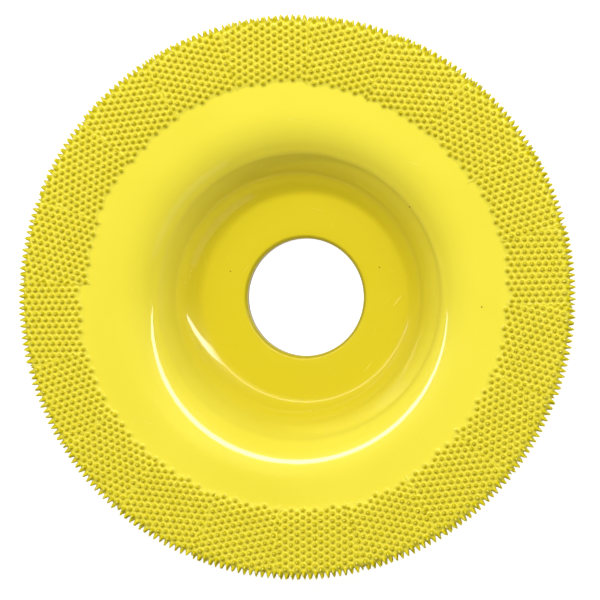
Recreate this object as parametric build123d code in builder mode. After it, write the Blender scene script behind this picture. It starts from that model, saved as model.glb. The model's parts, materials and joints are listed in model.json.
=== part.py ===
from build123d import *
import os
from math import atan2, cos, degrees, hypot, radians, sin, sqrt

# A depressed-centre carving disc for an angle grinder, in millimetres: a pressed steel
# disc with a rim of brazed mats that are studded with cutting teeth.
# The origin is the centre of the hub's back face, which the disc lies on.
# +Z points out of the working side, the side that the hub is sunk into.

os.makedirs("parts", exist_ok=True)

# Steel disc
BORE_DIAMETER = 22.23
SHEET = 2.0
DISH_DEPTH = 12.7  # from the flange down to the hub, both on the working side
HUB_CORNER_RADIUS = 19.3  # where the hub and the wall's foot would meet with no bend
WALL_CORNER_RADIUS = 23.2  # where the wall steepens, if it did so with no bend
WALL_CORNER_RISE = 2.1  # above the hub
FLANGE_CORNER_RADIUS = 29.3  # where the wall and the flange would meet with no bend
HUB_BEND = 3.5
WALL_BEND = 9.0
FLANGE_BEND = 9.6
BLANK_DIAMETER = 102.8
BLANK_EDGE_ROUND = 0.6
BORE_FRONT_ROUND = 0.6
BORE_BACK_ROUND = 0.3

# Tooth mats
MAT_THICKNESS = 0.4
MAT_BACK_BAND = 3.2  # how far a mat reaches inward behind the rim, from the rim's edge
TOOTH_PITCH = 1.3  # hexagonal grid
TOOTH_HEIGHT = 1.15
TOOTH_BASE_RADIUS = 0.5
TOOTH_TIP_RADIUS = 0.15
TOOTH_ROOT = 0.3  # how deep a tooth is brazed into its mat
TOOTH_MARGIN = 0.05  # bare mat between a tooth's root and the mat's edges
TOOTH_TURN = 33.0  # turns a cone's seam line off the lines of the surface it stands on
GRID_LEAN = -5.0  # angle of the grid's rows from the middle of their mat

# The mats were laid by hand, so no two are quite alike: the angle of the seam that each
# starts at, and the radius that its inner edge reaches on the working side.
MATS_LAID = (
    (-1.8, 39.9),
    (14.9, 39.7),
    (32.6, 39.0),
    (50.9, 38.9),
    (69.3, 39.2),
    (86.6, 39.7),
    (105.5, 39.8),
    (123.1, 39.5),
    (140.6, 39.8),
    (159.1, 39.1),
    (176.6, 40.3),
    (194.6, 40.1),
    (212.4, 39.7),
    (229.7, 39.0),
    (248.2, 38.7),
    (266.4, 38.9),
    (284.6, 39.4),
    (302.2, 39.1),
    (320.9, 39.1),
    (339.3, 39.5),
)
FULL_TURN = 360.0
GRID_SLIP = 0.63  # spreads the mats' grids over different offsets

bore_radius = BORE_DIAMETER / 2
blank_radius = BLANK_DIAMETER / 2
hub_front = SHEET
flange_front = hub_front + DISH_DEPTH
flange_back = flange_front - SHEET
mat_front = flange_front + MAT_THICKNESS
mat_back = flange_back - MAT_THICKNESS
mat_radius = blank_radius + MAT_THICKNESS
mat_edge_round = BLANK_EDGE_ROUND + MAT_THICKNESS
row_gap = TOOTH_PITCH * sqrt(3) / 2
tooth_taper = (TOOTH_BASE_RADIUS - TOOTH_TIP_RADIUS) / TOOTH_HEIGHT
tooth_root_radius = TOOTH_BASE_RADIUS + TOOTH_ROOT * tooth_taper


# ---- The pressed steel disc: hub, wall and flange of one sheet
def rings(part):
    """A turned part's full circular edges, in groups from the smallest to the largest"""
    circles = part.edges().filter_by(GeomType.CIRCLE).filter_by(lambda edge: edge.is_closed)
    return circles.group_by(SortBy.RADIUS)


with BuildPart() as steel_disc:
    with BuildSketch(Plane.XZ):
        with BuildLine():
            FilletPolyline(
                (bore_radius, hub_front),
                (HUB_CORNER_RADIUS, hub_front),
                (WALL_CORNER_RADIUS, hub_front + WALL_CORNER_RISE),
                (FLANGE_CORNER_RADIUS, flange_front),
                (blank_radius, flange_front),
                radius=[HUB_BEND, WALL_BEND, FLANGE_BEND],
            )
            offset(amount=SHEET, side=Side.RIGHT)
        make_face()
    revolve(axis=Axis.Z)
    fillet(rings(steel_disc)[-1], radius=BLANK_EDGE_ROUND)
    fillet(rings(steel_disc)[0].sort_by(Axis.Z)[-1], radius=BORE_FRONT_ROUND)
    fillet(rings(steel_disc)[0].sort_by(Axis.Z)[0], radius=BORE_BACK_ROUND)
steel_disc.part.label = "steel_disc"
export_step(steel_disc.part, "parts/steel_disc.step")
print(f"steel_disc volume {steel_disc.part.volume:.0f} mm3")


# ---- The mats' outer skin, followed from the axis out over the rim and behind it
with BuildLine(Plane.XZ) as skin_line:
    FilletPolyline(
        (0, mat_front),
        (mat_radius, mat_front),
        (mat_radius, mat_back),
        (mat_radius - MAT_BACK_BAND, mat_back),
        radius=mat_edge_round,
    )
skin = skin_line.wire()


def tooth_seats(middle, half_width, inner_radius, number):
    """Planes on a mat's skin for its teeth. The grid is laid flat on the strip that the
    mat was cut from, and the strip is bent over the rim along the skin line."""
    along_slip = TOOTH_PITCH * (number * GRID_SLIP % 1)
    across_slip = row_gap * (number * GRID_SLIP**2 % 1)
    lean = radians(GRID_LEAN)
    keep_off = tooth_root_radius + TOOTH_MARGIN
    rows = int(skin.length * sin(radians(half_width)) / row_gap) + 4
    places = int(skin.length / TOOTH_PITCH) + 4
    seats = []
    for row in range(-rows, rows + 1):
        across = row * row_gap + across_slip
        for place in range(places):
            along = (place + row % 2 / 2) * TOOTH_PITCH + along_slip
            x = along * cos(lean) - across * sin(lean)
            y = along * sin(lean) + across * cos(lean)
            reach = hypot(x, y)
            if not inner_radius + keep_off < reach < skin.length - keep_off:
                continue
            spot = skin.position_at(reach, PositionMode.LENGTH)
            heading = skin.tangent_at(reach, PositionMode.LENGTH)
            from_middle = degrees(atan2(y, x))
            if spot.X * radians(half_width - abs(from_middle)) < keep_off:
                continue
            spoke = Vector(1, 0, 0).rotate(Axis.Z, middle + from_middle)
            up = Vector(0, 0, 1)
            seats.append(
                Plane(
                    origin=spoke * spot.X + up * spot.Z,
                    z_dir=up * heading.X - spoke * heading.Z,
                )
            )
    return seats


# ---- The tooth mats: thin metal bent over the rim, with its teeth brazed on
tooth_count = 0
for number, (start, inner_radius) in enumerate(MATS_LAID, 1):
    end = MATS_LAID[number][0] if number < len(MATS_LAID) else MATS_LAID[0][0] + FULL_TURN
    seats = tooth_seats((start + end) / 2, (end - start) / 2, inner_radius, number)
    seam = Vector(1, 0, 0).rotate(Axis.Z, start)
    with BuildPart() as mat:
        with BuildSketch(Plane((0, 0, 0), x_dir=seam, z_dir=seam.cross(Vector(0, 0, 1)))):
            with BuildLine():
                FilletPolyline(
                    (inner_radius, flange_front),
                    (blank_radius, flange_front),
                    (blank_radius, flange_back),
                    (mat_radius - MAT_BACK_BAND, flange_back),
                    radius=BLANK_EDGE_ROUND,
                )
                offset(amount=MAT_THICKNESS, side=Side.LEFT)
            make_face()
        revolve(axis=Axis.Z, revolution_arc=end - start)
        with Locations(*[seat.offset(-TOOTH_ROOT) for seat in seats]):
            Cone(
                bottom_radius=tooth_root_radius,
                top_radius=TOOTH_TIP_RADIUS,
                height=TOOTH_HEIGHT + TOOTH_ROOT,
                rotation=(0, 0, TOOTH_TURN),
                align=(Align.CENTER, Align.CENTER, Align.MIN),
            )
    mat.part.label = f"tooth_mat_{number:02d}"
    export_step(mat.part, f"parts/{mat.part.label}.step", write_pcurves=False)
    tooth_count += len(seats)
    print(f"{mat.part.label} {len(seats)} teeth, volume {mat.part.volume:.0f} mm3")
print(f"{tooth_count} teeth in all")
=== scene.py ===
import json
import math

import bmesh
import bpy
import numpy as np
from mathutils import Matrix, Vector


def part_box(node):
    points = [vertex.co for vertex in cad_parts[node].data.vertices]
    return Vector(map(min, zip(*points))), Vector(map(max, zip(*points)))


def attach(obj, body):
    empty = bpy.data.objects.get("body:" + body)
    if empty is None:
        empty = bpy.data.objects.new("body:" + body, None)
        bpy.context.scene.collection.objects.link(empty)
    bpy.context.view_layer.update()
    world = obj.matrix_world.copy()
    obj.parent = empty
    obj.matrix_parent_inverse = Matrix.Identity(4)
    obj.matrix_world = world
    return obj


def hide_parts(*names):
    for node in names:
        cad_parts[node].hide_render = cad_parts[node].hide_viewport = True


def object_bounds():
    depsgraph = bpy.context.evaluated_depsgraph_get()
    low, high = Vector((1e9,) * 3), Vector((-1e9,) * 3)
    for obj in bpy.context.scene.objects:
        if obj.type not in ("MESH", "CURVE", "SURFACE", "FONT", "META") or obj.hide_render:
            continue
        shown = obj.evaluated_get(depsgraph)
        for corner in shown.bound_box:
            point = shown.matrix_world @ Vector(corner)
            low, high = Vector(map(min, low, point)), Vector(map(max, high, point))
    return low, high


# A yellow carving disc for an angle grinder: a dished steel plate whose rim is covered in
# twenty mats of small cutting teeth. Everything is in metres, in the CAD model's frame.

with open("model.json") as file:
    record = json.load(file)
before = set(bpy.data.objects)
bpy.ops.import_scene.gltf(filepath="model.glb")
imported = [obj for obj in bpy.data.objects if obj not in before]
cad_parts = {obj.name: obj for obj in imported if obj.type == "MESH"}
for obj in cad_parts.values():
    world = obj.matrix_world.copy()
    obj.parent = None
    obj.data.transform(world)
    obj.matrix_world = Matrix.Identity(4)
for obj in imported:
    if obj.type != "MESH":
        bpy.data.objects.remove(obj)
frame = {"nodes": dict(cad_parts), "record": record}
cad_low, cad_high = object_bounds()

MM = 0.001
SEED = 20

# ---- Sizes read from the frame
MAT_NODES = sorted(name for name in frame["nodes"] if name.startswith("tooth_mat_"))
mounts = {mount["name"]: mount for mount in frame["record"]["mounts"]}
bore_radius = mounts["arbor_bore"]["dims"]["r_mm"] * MM
hub_front = mounts["hub_nut_seat"]["pos_m"][2]
sheet = hub_front - mounts["hub_back_seat"]["pos_m"][2]
disc_low, disc_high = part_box("steel_disc")
blank_radius = disc_high.x
flange_front = disc_high.z
flange_back = flange_front - sheet

# ---- Sizes of the pressing. Its bend at the hub is tighter and its foot steeper than in the
# CAD model; the two surfaces lie a quarter of a millimetre apart at most.
HUB_CORNER_RADIUS = 19.7 * MM
WALL_CORNER_RADIUS = 23.1 * MM
WALL_CORNER_RISE = 2.45 * MM
FLANGE_CORNER_RADIUS = 29.5 * MM
HUB_BEND = 2.0 * MM
WALL_BEND = 14.0 * MM
FLANGE_BEND = 9.6 * MM
BLANK_EDGE_ROUND = 0.6 * MM
BORE_CHAMFER = 0.65 * MM  # stands for the CAD model's round of about that size
BORE_CHAMFER_ROUNDS = (0.15 * MM, 0.6 * MM)
BORE_BACK_ROUND = 0.3 * MM
ARC_STEP = 0.25 * MM  # longest step along the outline's arcs and along its straight runs
RUN_STEP = 1.5 * MM
TURN_STEPS = 360

# ---- Teeth: the CAD model's grid, with each tooth shaped as its coat leaves it
TOOTH_PITCH = 1.3 * MM
TOOTH_HEIGHT = 1.15 * MM
GRID_LEAN = math.radians(-5.0)
GRID_SLIP = 0.63
TOOTH_RINGS = (  # radius and height, in mm, from the foot up to the tip
    (0.53, 0.012),
    (0.445, 0.09),
    (0.365, 0.32),
    (0.28, 0.61),
    (0.185, 0.90),
    (0.085, 1.08),
)
TOOTH_TOP = 1.13  # the tip's height, in mm
SIDES = 12  # of a tooth, and of the cell that it stands on
TIP_LEAN = 0.03 * MM  # spread of the tips' places round the middle of their foot
TALL = (0.93, 1.03)  # the teeth's heights and widths, as shares of the usual ones
WIDE = (0.95, 1.05)
WOBBLE = 0.03  # unevenness of a tooth's outline, as a share of its radius
FOOT_WOBBLE = 0.2  # share of it at the foot; halfway up the tooth has all of it
INNER_MARGIN = 0.45 * TOOTH_PITCH  # from a mat's two ends to the teeth that are nearest
END_MARGIN = 0.4 * TOOTH_PITCH
SEAM_OVERLAP = 0.7 * TOOTH_PITCH  # teeth stand this far past a seam, where they are cut
SEAM_HEIGHT = 0.13 * MM
SEAM_WIDTH = 0.3 * MM
SEAM_WAVES = ((0.9 * MM, 2.1), (0.37 * MM, 3.7))  # length per radian, shift per seam
SEAM_SWELL = 0.25  # how much each wave adds to the bead's height
SKIRT_REACH = 0.6 * MM  # how far the paint runs out past a mat's inner edge
SKIRT_STEPS = 4
SKIRT_ZONE = 1.1 * TOOTH_PITCH  # edges this near to an end of the mat get a skirt
THINNED = 0.34 * MM  # how far a mat is hammered down towards its inner edge
THINNED_WIDTH = 3.2 * MM
SUNK = 0.04 * MM  # how deep a mat's underside lies in the disc's own coat
NO_TINT = 0.5  # tint of the skirts, the middle of the teeth's tints

# ---- Slack for telling places apart
ON_BACK = 0.05 * MM
ON_INNER_EDGE = 0.01 * MM
SAME_EDGE = 0.05 * MM
SAME_POINT = 0.02 * MM
ON_CUT = 0.001 * MM
FAR_FROM_SEAM = 0.3  # radians; past it a point is taken to lie at this angle

# ---- Colours
COAT_TONES = ((0.745, 0.640, 0.044, 1), (0.775, 0.672, 0.052, 1))
# Painted shade: the coat's colour further down in the dish
DISH_SHADE_TONE = (0.582, 0.470, 0.013, 1)
# Painted shade: the dark ring round the bore's edge
BORE_EDGE_SHADE_TONE = (0.26, 0.22, 0.01, 1)
BARE_EDGE_TONE = (0.50, 0.44, 0.30, 1)
SPECK_TONE = (0.34, 0.16, 0.01, 1)
SCRATCH_TONE = (0.86, 0.78, 0.22, 1)
POOLED_TONE = (0.71, 0.625, 0.055, 1)
# Painted shade on the teeth's sides, and a painted highlight on their tips
TOOTH_SIDE_SHADE_TONE = (0.55, 0.47, 0.001, 1)
TOOTH_TIP_HIGHLIGHT_TONE = (0.80, 0.73, 0.12, 1)
STAIN_TONE = (0.60, 0.51, 0.004, 1)
PALE_TOOTH_TONE = (0.78, 0.70, 0.05, 1)
TOOTH_GLINT_TONE = (1.0, 0.86, 0.25, 1)


def read_points(node):
    """A CAD node's corners as an array, one row each"""
    mesh = frame["nodes"][node].data
    points = np.empty(len(mesh.vertices) * 3, np.float32)
    mesh.vertices.foreach_get("co", points)
    return points.reshape(-1, 3).astype(float)


def read_mat(node):
    """A mat's angles, inner edge and thickness, from its CAD solid"""
    points = read_points(node)
    radius = np.hypot(points[:, 0], points[:, 1])
    middle = math.atan2(points[:, 1].mean(), points[:, 0].mean())
    turned = np.arctan2(points[:, 1], points[:, 0]) - middle
    turned = (turned + math.pi) % (2 * math.pi) - math.pi
    inner = radius.min()
    behind = radius[points[:, 2] < flange_back + ON_BACK]
    return {
        "middle": middle + (turned.min() + turned.max()) / 2,
        "half_width": (turned.max() - turned.min()) / 2,
        "inner": inner,
        "front": points[radius < inner + ON_INNER_EDGE, 2].max(),
        "back_inner": behind.min(),
    }


# ---- The skin line: how a flat strip is bent over the rim
class Skin:
    """The outer surface of a mat, followed outward from the axis and round the rim"""

    def __init__(self, front, back_inner):
        self.thickness = front - flange_front
        self.depth = self.thickness + SUNK
        self.foot = self.thickness + SUNK / 2
        self.front = front
        self.back = flange_back - self.thickness
        self.radius = blank_radius + self.thickness
        self.bend = BLANK_EDGE_ROUND + self.thickness
        self.flat_end = self.radius - self.bend
        self.quarter = self.bend * math.pi / 2
        self.wall = self.front - self.back - 2 * self.bend
        self.length = self.flat_end + 2 * self.quarter + self.wall + self.flat_end - back_inner

    def bent(self, reach, height):
        """Radius and height in the disc of a point that lay flat at this reach and height"""
        past = np.maximum(reach - self.flat_end, 0)
        first = np.minimum(past, self.quarter) / self.bend
        down = np.clip(past - self.quarter, 0, self.wall)
        second = np.clip(past - self.quarter - self.wall, 0, self.quarter) / self.bend
        inward = np.maximum(past - 2 * self.quarter - self.wall, 0)
        turn = first + second
        arc = self.bend + height
        radius = np.minimum(reach, self.flat_end) + arc * np.sin(turn) - inward
        level = self.front - self.bend - down + arc * np.cos(turn)
        return radius, level


def rounded(corners, arc_step, run_step):
    """Points along a closed outline of (radius, height, rounding) corners"""
    places = [Vector(corner[:2]) for corner in corners]
    arcs = []
    for index, (here, corner) in enumerate(zip(places, corners)):
        rounding = corner[2]
        to_last = (places[index - 1] - here).normalized()
        to_next = (places[(index + 1) % len(places)] - here).normalized()
        turn = math.pi - to_last.angle(to_next)
        cut = rounding * math.tan(turn / 2)
        centre = here + (to_last + to_next).normalized() * (rounding / math.cos(turn / 2))
        start = here + to_last * cut
        end = here + to_next * cut
        steps = max(3, math.ceil(turn * rounding / arc_step))
        spoke = start - centre
        side = 1 if spoke.cross(end - centre) > 0 else -1
        arc = []
        for step in range(steps + 1):
            angle = side * turn * step / steps
            x = spoke.x * math.cos(angle) - spoke.y * math.sin(angle)
            y = spoke.x * math.sin(angle) + spoke.y * math.cos(angle)
            arc.append(centre + Vector((x, y)))
        arcs.append(arc)
    points = []
    for index, arc in enumerate(arcs):
        points += arc
        following = arcs[(index + 1) % len(arcs)][0]
        run = following - arc[-1]
        steps = max(1, math.ceil(run.length / run_step))
        points += [arc[-1] + run * step / steps for step in range(1, steps)]
    return points


def new_piece(name, mesh, material, nodes):
    """Places a finished mesh as a piece of the object that stands for those CAD nodes"""
    piece = bpy.data.objects.new(name, mesh)
    bpy.context.scene.collection.objects.link(piece)
    mesh.materials.append(material)
    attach(piece, "root")
    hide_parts(*nodes)


# ---- The pressed steel disc
def disc_mesh():
    """The disc turned from its outline; its back follows the front at the sheet's thickness"""
    front = (
        Vector((HUB_CORNER_RADIUS, hub_front)),
        Vector((WALL_CORNER_RADIUS, hub_front + WALL_CORNER_RISE)),
        Vector((FLANGE_CORNER_RADIUS, flange_front)),
    )
    foot, wall = front[1] - front[0], front[2] - front[1]
    slopes = (0, math.atan2(foot.y, foot.x), math.atan2(wall.y, wall.x), 0)
    back = []
    for corner, before, after in zip(front, slopes, slopes[1:]):
        middle = (before + after) / 2
        reach = sheet / math.cos((after - before) / 2)
        back.append(corner + Vector((math.sin(middle), -math.cos(middle))) * reach)
    outline = rounded(
        (
            (bore_radius, hub_front - BORE_CHAMFER, BORE_CHAMFER_ROUNDS[0]),
            (bore_radius + BORE_CHAMFER, hub_front, BORE_CHAMFER_ROUNDS[1]),
            (*front[0], HUB_BEND),
            (*front[1], WALL_BEND),
            (*front[2], FLANGE_BEND),
            (blank_radius, flange_front, BLANK_EDGE_ROUND),
            (blank_radius, flange_back, BLANK_EDGE_ROUND),
            (*back[2], FLANGE_BEND - sheet),
            (*back[1], WALL_BEND + sheet),
            (*back[0], HUB_BEND + sheet),
            (bore_radius, disc_low.z, BORE_BACK_ROUND),
        ),
        ARC_STEP,
        RUN_STEP,
    )
    angles = [step * 2 * math.pi / TURN_STEPS for step in range(TURN_STEPS)]
    points = [(p.x * math.cos(angle), p.x * math.sin(angle), p.y) for p in outline for angle in angles]
    faces = []
    for ring in range(len(outline)):
        here = ring * TURN_STEPS
        following = (ring + 1) % len(outline) * TURN_STEPS
        for spoke in range(TURN_STEPS):
            beside = (spoke + 1) % TURN_STEPS
            faces.append((here + spoke, here + beside, following + beside, following + spoke))
    mesh = bpy.data.meshes.new("pressed_disc")
    mesh.from_pydata(points, [], faces)
    mesh.shade_smooth()
    return mesh


# ---- The tooth mats
def grid_centres(mat, skin, number):
    """Where the teeth of a mat stand on its flat strip, the cut ones at its seams too"""
    row_gap = TOOTH_PITCH * math.sqrt(3) / 2
    along_slip = TOOTH_PITCH * (number * GRID_SLIP % 1)
    across_slip = row_gap * (number * GRID_SLIP**2 % 1)
    rows = int(skin.length * math.sin(mat["half_width"]) / row_gap) + 5
    row, place = np.meshgrid(
        np.arange(-rows, rows + 1), np.arange(int(skin.length / TOOTH_PITCH) + 4)
    )
    along = (place + row % 2 / 2) * TOOTH_PITCH + along_slip
    across = row * row_gap + across_slip
    x = along * math.cos(GRID_LEAN) - across * math.sin(GRID_LEAN)
    y = along * math.sin(GRID_LEAN) + across * math.cos(GRID_LEAN)
    reach = np.hypot(x, y)
    off_middle = np.abs(np.arctan2(y, x))
    kept = (reach > mat["inner"] + INNER_MARGIN) & (reach < skin.length - END_MARGIN)
    kept &= reach * (off_middle - mat["half_width"]) < SEAM_OVERLAP
    return np.stack([x[kept], y[kept]], axis=1)


def seam_bead(reach, seam):
    """Height of the braze and paint along a seam, the same for the mats on its two sides"""
    wave = sum(np.sin(reach / length + shift * seam) for length, shift in SEAM_WAVES)
    return SEAM_HEIGHT * (1 + SEAM_SWELL * wave)


def eased(share):
    """A share from 0 to 1 that starts and ends gently"""
    share = np.clip(share, 0, 1)
    return share * share * (3 - 2 * share)


def settle(points, mat, number):
    """Rounds a mat off into the beads along its two seams, and thins it at its inner edge"""
    reach = np.hypot(points[:, 0], points[:, 1])
    angle = np.arctan2(points[:, 1], points[:, 0])
    for seam, side in ((number, -1), (number % len(MAT_NODES) + 1, 1)):
        off_seam = np.clip(mat["half_width"] - side * angle, -FAR_FROM_SEAM, FAR_FROM_SEAM)
        near_seam = eased(1 - reach * np.sin(off_seam) / SEAM_WIDTH)
        points[:, 2] += near_seam * (seam_bead(reach, seam) - points[:, 2])
    points[:, 2] -= THINNED * eased((mat["inner"] + THINNED_WIDTH - reach) / THINNED_WIDTH)


def tooth_cells(mat, skin, number):
    """Six-sided cells of the strip with a tooth on each: points, faces, outer edges, tints"""
    draw = np.random.default_rng(SEED + number)
    centres = grid_centres(mat, skin, number)
    count = len(centres)
    spin = GRID_LEAN + np.arange(SIDES) * 2 * math.pi / SIDES
    spokes = np.stack([np.cos(spin), np.sin(spin)], axis=1)
    edge = np.where(np.arange(SIDES) % 2 == 0, TOOTH_PITCH / 2, TOOTH_PITCH / math.sqrt(3))

    lean = draw.normal(0, TIP_LEAN, (count, 2))
    tall = draw.uniform(*TALL, count)
    wide = draw.uniform(*WIDE, count)
    border = centres[:, None, :] + spokes * edge[:, None]
    layers = [np.concatenate([border, np.zeros((count, SIDES, 1))], axis=2)]
    for radius, height in TOOTH_RINGS:
        rise = height / TOOTH_TOP
        wobble = 1 + draw.normal(0, WOBBLE, (count, SIDES)) * min(1, 2 * rise + FOOT_WOBBLE)
        ring = centres[:, None, :] + lean[:, None, :] * rise
        ring = ring + spokes * (radius * MM * wobble * wide[:, None])[:, :, None]
        level = np.broadcast_to((height * MM * tall)[:, None, None], (count, SIDES, 1))
        layers.append(np.concatenate([ring, level], axis=2))
    tips = np.concatenate([centres + lean, (TOOTH_TOP * MM * tall)[:, None]], axis=1)[:, None, :]
    cells = np.concatenate([*layers, tips], axis=1)
    per_cell = cells.shape[1]
    points = cells.reshape(-1, 3)
    settle(points, mat, number)
    under = np.concatenate([border, np.full((count, SIDES, 1), -skin.depth)], axis=2)
    points = np.concatenate([points, under.reshape(-1, 3)])
    below = count * per_cell

    faces = []
    owners = {}
    for index in range(count):
        base = index * per_cell
        for side in range(SIDES):
            beside = (side + 1) % SIDES
            for layer in range(len(layers) - 1):
                low = base + layer * SIDES
                faces.append((low + side, low + beside, low + SIDES + beside, low + SIDES + side))
            top = base + per_cell - 1 - SIDES
            faces.append((top + side, top + beside, base + per_cell - 1))
            middle = (border[index, side] + border[index, beside]) / 2
            key = tuple(np.round(middle / SAME_EDGE).astype(int))
            low = below + index * SIDES
            owners.setdefault(key, []).append((base + side, base + beside, low + side, low + beside))
        low = below + index * SIDES
        faces.append(tuple(low + side for side in reversed(range(SIDES))))
    outer_edges = [edges[0] for edges in owners.values() if len(edges) == 1]
    tint = np.concatenate([np.repeat(draw.uniform(0, 1, count), per_cell), np.zeros(count * SIDES)])
    return points, faces, outer_edges, tint


def skirt(points, faces, outer_edges, mat, skin):
    """Closes the cells' outer edges: paint runs out flat at the two ends, a wall elsewhere"""
    ends = ((mat["inner"], -SKIRT_REACH), (skin.length, SKIRT_REACH / 2))
    extra = []
    for start, end, low_start, low_end in outer_edges:
        middle = (points[start, :2] + points[end, :2]) / 2
        reach = math.hypot(middle[0], middle[1])
        foot = None
        for limit, run in ends:
            if abs(reach - limit) < SKIRT_ZONE:
                foot = limit + run
        last = (start, end)
        if foot is not None:
            for step in range(1, SKIRT_STEPS + 1):
                share = step / SKIRT_STEPS
                level = -skin.foot * (1 - (1 - share) ** 2)
                row = []
                for corner in (start, end):
                    x, y, z = points[corner]
                    grown = (foot / math.hypot(x, y) - 1) * share + 1
                    row.append(len(points) + len(extra))
                    extra.append((x * grown, y * grown, level + z * (1 - share)))
                faces.append((last[1], last[0], row[0], row[1]))
                last = tuple(row)
        faces.append((last[1], last[0], low_start, low_end))
    return np.concatenate([points, np.array(extra)])


def mat_mesh(name, mat, skin, number):
    """A mat built flat, cut off at its two seams and bent over the rim"""
    points, faces, outer_edges, tint = tooth_cells(mat, skin, number)
    points = skirt(points, faces, outer_edges, mat, skin)
    tint = np.concatenate([tint, np.full(len(points) - len(tint), NO_TINT)])
    mesh = bpy.data.meshes.new(name)
    mesh.from_pydata(points.tolist(), [], faces)
    mesh.attributes.new("tint", "FLOAT", "POINT").data.foreach_set("value", tint.astype(np.float32))
    work = bmesh.new()
    work.from_mesh(mesh)
    bmesh.ops.remove_doubles(work, verts=work.verts[:], dist=SAME_POINT)
    for side in (-1, 1):
        turned = side * mat["half_width"]
        out = Vector((-math.sin(turned), math.cos(turned), 0)) * side
        cut = bmesh.ops.bisect_plane(
            work,
            geom=work.verts[:] + work.edges[:] + work.faces[:],
            plane_co=(0, 0, 0),
            plane_no=out,
            clear_outer=True,
            dist=ON_CUT,
        )
        loop = [part for part in cut["geom_cut"] if isinstance(part, bmesh.types.BMEdge)]
        bmesh.ops.holes_fill(work, edges=loop, sides=0)
    bmesh.ops.recalc_face_normals(work, faces=work.faces[:])
    work.to_mesh(mesh)
    work.free()

    flat = np.empty(len(mesh.vertices) * 3, np.float32)
    mesh.vertices.foreach_get("co", flat)
    flat = flat.reshape(-1, 3).astype(float)
    rise = mesh.attributes.new("rise", "FLOAT", "POINT")
    rise.data.foreach_set("value", (flat[:, 2] / TOOTH_HEIGHT).astype(np.float32))
    radius, level = skin.bent(np.hypot(flat[:, 0], flat[:, 1]), flat[:, 2])
    angle = np.arctan2(flat[:, 1], flat[:, 0]) + mat["middle"]
    bent = np.stack([radius * np.cos(angle), radius * np.sin(angle), level], axis=1)
    mesh.vertices.foreach_set("co", bent.astype(np.float32).ravel())
    mesh.update()
    mesh.shade_smooth()
    return mesh


# ---- Materials. Numbers in the paints' functions are noise scales, limits and shares.
class Nodes:
    """A material's node tree, with short ways to add and join its nodes"""

    def __init__(self, name):
        self.material = bpy.data.materials.new(name)
        self.material.use_nodes = True
        self.tree = self.material.node_tree
        self.shader = self.tree.nodes["Principled BSDF"]

    def put(self, value, socket):
        """Joins another node's output to a socket, or sets the socket's own value"""
        if isinstance(value, bpy.types.NodeSocket):
            self.tree.links.new(value, socket)
        else:
            socket.default_value = value

    def add(self, kind, output, inputs, **settings):
        """Adds a node and gives back one of its outputs"""
        node = self.tree.nodes.new(kind)
        for setting, value in settings.items():
            setattr(node, setting, value)
        for key, value in inputs.items():
            self.put(value, node.inputs[key])
        return node.outputs[output]

    def place(self):
        return self.add("ShaderNodeTexCoord", "Object", {})

    def noise(self, place, scale, detail=2.0, rough=0.5):
        inputs = {"Vector": place, "Scale": scale, "Detail": detail, "Roughness": rough}
        return self.add("ShaderNodeTexNoise", "Fac", inputs)

    def span(self, value, low, high, new_low=0.0, new_high=1.0):
        """Maps the span from low to high onto another, with a gentle start and end"""
        inputs = {"Value": value, "From Min": low, "From Max": high}
        inputs |= {"To Min": new_low, "To Max": new_high}
        return self.add("ShaderNodeMapRange", "Result", inputs, interpolation_type="SMOOTHSTEP")

    def calculate(self, kind, first, second):
        return self.add("ShaderNodeMath", "Value", {0: first, 1: second}, operation=kind)

    def blend(self, share, first, second):
        """Mixes two colours; a mix node has them at inputs 6 and 7, and the result at output 2"""
        return self.add("ShaderNodeMix", 2, {0: share, 6: first, 7: second}, data_type="RGBA")

    def bump(self, height, distance):
        inputs = {"Height": height, "Distance": distance, "Strength": 1.0}
        return self.add("ShaderNodeBump", "Normal", inputs)


def gloss(nodes, coat, coat_rough):
    """The clear, glossy skin of the powder coat"""
    nodes.shader.inputs["IOR"].default_value = 1.5
    nodes.shader.inputs["Specular IOR Level"].default_value = 0.2
    nodes.shader.inputs["Coat Weight"].default_value = coat
    nodes.shader.inputs["Coat Roughness"].default_value = coat_rough
    nodes.shader.inputs["Coat IOR"].default_value = 1.55


def scratches(nodes, place, turn, scale):
    """Thin, short, nearly straight lines: a noise stretched along one direction"""
    turned = nodes.add(
        "ShaderNodeMapping",
        "Vector",
        {"Vector": place, "Rotation": (0, 0, math.radians(turn)), "Scale": (1, 20, 1)},
        vector_type="TEXTURE",
    )
    lines = nodes.noise(turned, scale, 1.0, 0.3)
    return nodes.span(lines, 0.74, 0.79)


def specks(nodes, place):
    """Specks of dust under the coat: a dot in one of about twenty cells"""
    cell = nodes.tree.nodes.new("ShaderNodeTexVoronoi")
    cell.voronoi_dimensions = "2D"
    nodes.put(140.0, cell.inputs["Scale"])
    nodes.put(place, cell.inputs["Vector"])
    chance = nodes.add("ShaderNodeSeparateColor", "Red", {"Color": cell.outputs["Color"]})
    seldom = nodes.calculate("GREATER_THAN", chance, 0.95)
    dot = nodes.span(cell.outputs["Distance"], 0.030, 0.014)
    return nodes.calculate("MULTIPLY", dot, seldom)


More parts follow.
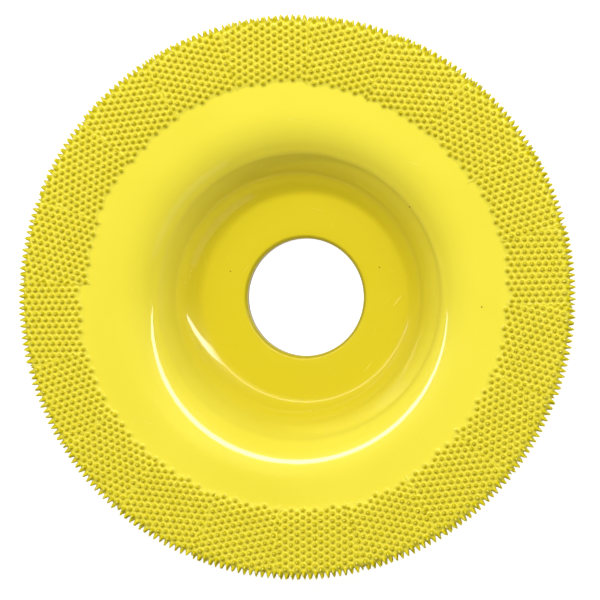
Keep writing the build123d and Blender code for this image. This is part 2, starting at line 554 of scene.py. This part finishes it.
def disc_paint():
    """Yellow powder coat, with painted shade making it darker further down in the dish and in a ring
    round the bore; rubbed at the hub and worn off at the bore
    """
    nodes = Nodes("coated_steel")
    place = nodes.place()
    broad = nodes.span(nodes.noise(place, 35.0), 0.3, 0.7)
    colour = nodes.blend(broad, *COAT_TONES)

    level = nodes.add("ShaderNodeSeparateXYZ", "Z", {0: place})
    flat = nodes.add("ShaderNodeVectorMath", "Vector", {0: place, 1: (1, 1, 0)}, operation="MULTIPLY")
    from_axis = nodes.add("ShaderNodeVectorMath", "Value", {0: flat}, operation="LENGTH")
    # Painted shade: the coat turns darker further down in the dish
    dish_shade = nodes.span(level, flange_front - 5 * MM, hub_front + 0.5 * MM)
    colour = nodes.blend(dish_shade, colour, DISH_SHADE_TONE)
    # Painted shade: a dark ring round the bore's edge, where the edge turns away from the light
    bore_edge_shade = nodes.span(from_axis, bore_radius + 0.75 * MM, bore_radius + 0.35 * MM)
    colour = nodes.blend(nodes.calculate("MULTIPLY", bore_edge_shade, 0.65), colour, BORE_EDGE_SHADE_TONE)
    bare = nodes.span(from_axis, bore_radius + 0.12 * MM, bore_radius + 0.04 * MM)
    colour = nodes.blend(bare, colour, BARE_EDGE_TONE)

    speck = specks(nodes, place)
    colour = nodes.blend(speck, colour, SPECK_TONE)
    lines = scratches(nodes, place, 20, 2600.0)
    for turn, scale in ((78, 2300.0), (-40, 2900.0)):
        lines = nodes.calculate("MAXIMUM", lines, scratches(nodes, place, turn, scale))
    patches = nodes.span(nodes.noise(place, 90.0), 0.52, 0.66)
    lines = nodes.calculate("MULTIPLY", lines, patches)
    colour = nodes.blend(nodes.calculate("MULTIPLY", lines, 0.35), colour, SCRATCH_TONE)
    nodes.put(colour, nodes.shader.inputs["Base Color"])

    rough = nodes.span(nodes.noise(place, 60.0, 3.0), 0.3, 0.7, 0.30, 0.38)
    nodes.put(rough, nodes.shader.inputs["Roughness"])
    gloss(nodes, 1.0, 0.055)
    rubbed = nodes.span(level, hub_front + 0.22 * MM, hub_front + 1.0 * MM, 0.2, 1.0)
    nodes.put(rubbed, nodes.shader.inputs["Coat Weight"])

    peel = nodes.noise(place, 420.0)
    height = nodes.calculate("SUBTRACT", peel, nodes.calculate("MULTIPLY", lines, 0.5))
    height = nodes.calculate("ADD", height, nodes.calculate("MULTIPLY", speck, 2.0))
    skin_normal = nodes.bump(height, 0.006 * MM)
    nodes.put(skin_normal, nodes.shader.inputs["Normal"])
    nodes.put(skin_normal, nodes.shader.inputs["Coat Normal"])
    return nodes.material


def teeth_paint():
    """The same coat on the mats, pooled at the teeth's feet, with painted shade darkening the teeth's
    sides and a painted highlight making their tips pale
    """
    nodes = Nodes("coated_teeth")
    place = nodes.place()
    rise = nodes.add("ShaderNodeAttribute", "Fac", {}, attribute_name="rise")
    tint = nodes.add("ShaderNodeAttribute", "Fac", {}, attribute_name="tint")
    uneven = nodes.span(nodes.noise(place, 900.0, 3.0), 0.3, 0.7)
    # Painted shade: the teeth's sides are darker than their feet
    colour = nodes.blend(nodes.span(rise, 0.02, 0.25), POOLED_TONE, TOOTH_SIDE_SHADE_TONE)
    # Painted highlight: the teeth's tips are paler
    colour = nodes.blend(nodes.span(rise, 0.7, 0.98), colour, TOOTH_TIP_HIGHLIGHT_TONE)
    colour = nodes.blend(nodes.calculate("MULTIPLY", uneven, 0.25), colour, STAIN_TONE)
    colour = nodes.blend(nodes.calculate("MULTIPLY", tint, 0.1), colour, PALE_TOOTH_TONE)
    nodes.put(colour, nodes.shader.inputs["Base Color"])
    nodes.put(nodes.span(uneven, 0.0, 1.0, 0.28, 0.42), nodes.shader.inputs["Roughness"])
    gloss(nodes, 0.35, 0.15)
    nodes.shader.inputs["Specular Tint"].default_value = TOOTH_GLINT_TONE
    normal = nodes.bump(nodes.noise(place, 2200.0, 3.0), 0.02 * MM)
    nodes.put(normal, nodes.shader.inputs["Normal"])
    return nodes.material


# ---- The pieces
new_piece("pressed_disc", disc_mesh(), disc_paint(), ["steel_disc"])
tooth_coat = teeth_paint()
for number, node in enumerate(MAT_NODES, 1):
    mat = read_mat(node)
    skin = Skin(mat["front"], mat["back_inner"])
    name = node.replace("tooth_mat", "toothed_mat")
    new_piece(name, mat_mesh(name, mat, skin, number), tooth_coat, [node])

# ---- Floor and backdrop
FLOOR_SIZE = 3.0
FLOOR_GAP = 0.02 * MM
BACKDROP_RADIUS = FLOOR_SIZE / 2
BACKDROP_HEIGHT = 3.0
BACKDROP_SIDES = 96

studio_white = bpy.data.materials.new("floor_white")
studio_white.use_nodes = True
white_shader = studio_white.node_tree.nodes["Principled BSDF"]
white_shader.inputs["Base Color"].default_value = (0.3, 0.3, 0.3, 1)
white_shader.inputs["Roughness"].default_value = 0.8
white_shader.inputs["Emission Color"].default_value = (1, 1, 1, 1)
white_shader.inputs["Emission Strength"].default_value = 0.93


def white_surface(name, points, faces):
    """A surface of the studio, which isn't part of the object and isn't seen in its gloss"""
    mesh = bpy.data.meshes.new(name)
    mesh.from_pydata(points, [], faces)
    mesh.materials.append(studio_white)
    surface = bpy.data.objects.new(name, mesh)
    bpy.context.scene.collection.objects.link(surface)
    surface.visible_glossy = False
    return surface


half = FLOOR_SIZE / 2
low = cad_low.z - FLOOR_GAP
floor_corners = [(-half, -half, low), (half, -half, low), (half, half, low), (-half, half, low)]
floor = white_surface("floor", floor_corners, [(0, 1, 2, 3)])

# A white wall round the floor for views from low down, seen by the camera only
wall_points = []
for level in (low, low + BACKDROP_HEIGHT):
    for step in range(BACKDROP_SIDES):
        angle = step * 2 * math.pi / BACKDROP_SIDES
        spot = (BACKDROP_RADIUS * math.cos(angle), BACKDROP_RADIUS * math.sin(angle), level)
        wall_points.append(spot)
wall_faces = []
for step in range(BACKDROP_SIDES):
    beside = (step + 1) % BACKDROP_SIDES
    wall_faces.append((step, beside, beside + BACKDROP_SIDES, step + BACKDROP_SIDES))
backdrop = white_surface("backdrop", wall_points, wall_faces)
backdrop.visible_diffuse = False
backdrop.visible_shadow = False

# ---- Light
AIM_POINT = (0, 0, 0)
WORLD_STRENGTH = 0.2
TUBE_LENGTH = 14.0
TUBE_WIDTH = 0.15
SOFT_SIZE = 0.5
SIDE_SPOT = (0.72, 0.36, 0.89)
LOW_PANEL_SPOT = (1.1, -1.1, 0.45)
LOW_PANEL_RIGHT = (1, 1, 0)

world = bpy.data.worlds.new("studio")
world.use_nodes = True
world.node_tree.nodes["Background"].inputs["Color"].default_value = (1, 1, 1, 1)
world.node_tree.nodes["Background"].inputs["Strength"].default_value = WORLD_STRENGTH
world.cycles_visibility.glossy = False
bpy.context.scene.world = world


def aim(thing, place, target, right):
    """Puts a lamp or camera at a place, looking at the target, with its own X along right"""
    back = (Vector(place) - Vector(target)).normalized()
    up = back.cross(Vector(right)).normalized()
    turned = Matrix((up.cross(back), up, back)).transposed()
    thing.matrix_world = Matrix.Translation(place) @ turned.to_4x4()
    bpy.context.scene.collection.objects.link(thing)


def area_light(name, place, width, height, power, right=(1, 0, 0)):
    """A rectangular lamp that is aimed at the disc"""
    light = bpy.data.lights.new(name, "AREA")
    light.shape = "RECTANGLE"
    light.size = width
    light.size_y = height
    light.energy = power
    lamp = bpy.data.objects.new(name, light)
    aim(lamp, place, AIM_POINT, right)
    return lamp


def overhead(angle, distance):
    """A place above the disc, turned from straight above towards +Y"""
    return (0, distance * math.sin(angle), distance * math.cos(angle))


# A long thin tube behind the disc: its reflections are the two bright arcs in the dish
tube = area_light("tube", overhead(math.radians(45), 0.8), TUBE_LENGTH, TUBE_WIDTH, 68)
tube.visible_diffuse = False
# A soft light that does the shading and isn't seen in the gloss
soft = area_light("soft", overhead(math.radians(22), 1.2), SOFT_SIZE, SOFT_SIZE, 11.4)
soft.visible_glossy = False
# A pair like it at the sides, a little behind, that fills the dish from left and right
for name, side in (("side_left", -1), ("side_right", 1)):
    spot = (side * SIDE_SPOT[0], SIDE_SPOT[1], SIDE_SPOT[2])
    side_lamp = area_light(name, spot, SOFT_SIZE, SOFT_SIZE, 4.0)
    side_lamp.visible_glossy = False
# A dim low panel at the front right, for the sides that face away from the tube
area_light("low_panel", LOW_PANEL_SPOT, 1.6, 0.5, 1.1, LOW_PANEL_RIGHT)

# ---- Camera: a little to the right of straight above
SENSOR_WIDTH = 36
VIEW_TILT = math.radians(10.0)
VIEW_DISTANCE = 0.8
FRAME_WIDTH = 112.0 * MM
FRAME_CENTRE = Vector((1.25 * MM, -0.55 * MM, flange_front))

camera_data = bpy.data.cameras.new("camera")
camera_data.sensor_width = SENSOR_WIDTH
camera_data.lens = SENSOR_WIDTH * VIEW_DISTANCE / FRAME_WIDTH
camera = bpy.data.objects.new("camera", camera_data)
offset = Vector((math.sin(VIEW_TILT), 0, math.cos(VIEW_TILT))) * VIEW_DISTANCE
aim(camera, FRAME_CENTRE + offset, FRAME_CENTRE, (1, 0, 0))
bpy.context.scene.camera = camera
bpy.context.scene.view_settings.view_transform = "Standard"
